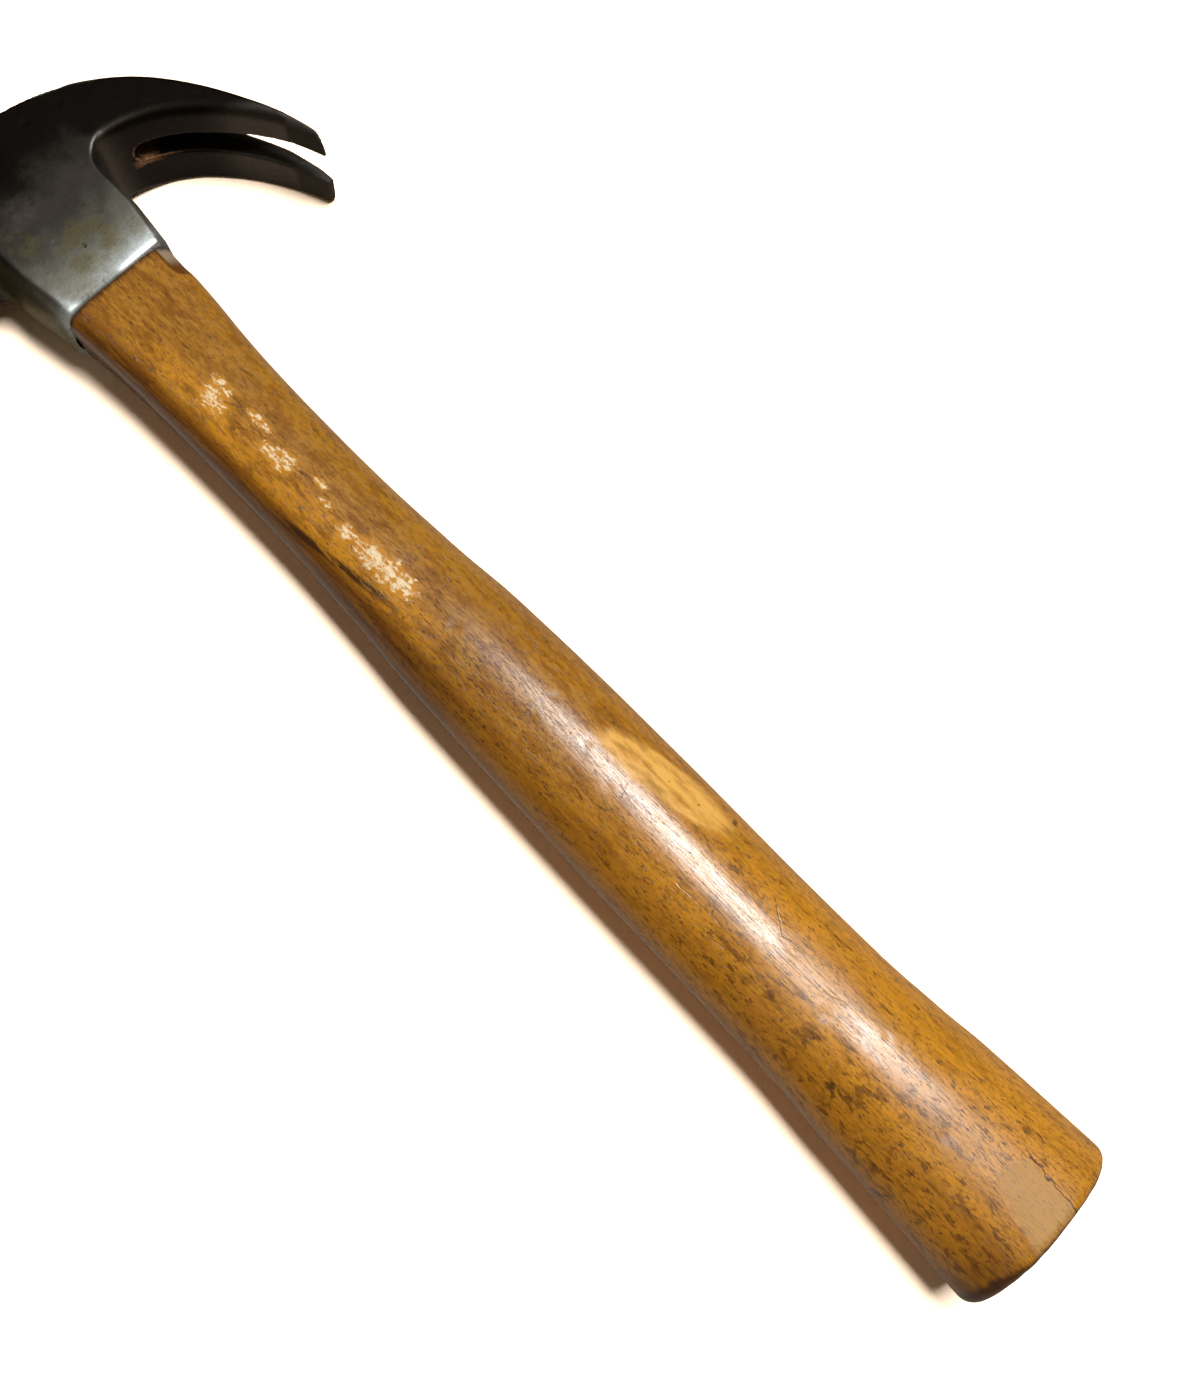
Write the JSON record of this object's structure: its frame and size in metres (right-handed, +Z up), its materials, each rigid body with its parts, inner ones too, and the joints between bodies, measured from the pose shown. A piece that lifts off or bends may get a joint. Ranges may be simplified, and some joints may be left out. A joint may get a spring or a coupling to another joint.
{
  "type": "claw hammer",
  "caption": "Carpenter's claw hammer: a dark forged head with a curved nail-pulling claw on a varnished hickory handle, its tenon wedged in the eye.",
  "frame": {"origin": "middle of the base of the hammer's box, as it lies on one side", "axes": "+X along the handle from the head to the butt, +Y from the eye to the claw, +Z up, square to the cheeks"},
  "size_m": [0.33, 0.1252, 0.028],
  "materials": {
    "forged_steel": "forged, with a dark brown patina, worn bright at the edges",
    "hickory": "amber varnish, glossy and worn through in patches",
    "wedge_wood": "bare, darkened with age",
    "wedge_steel": "plain, lightly rusted"
  },
  "bodies": {
    "root": {"hammer_head": "forged_steel", "handle": "hickory", "wooden_wedge": "wedge_wood", "steel_wedge_face_side": "wedge_steel", "steel_wedge_claw_side": "wedge_steel"}
  },
  "joints": []
}
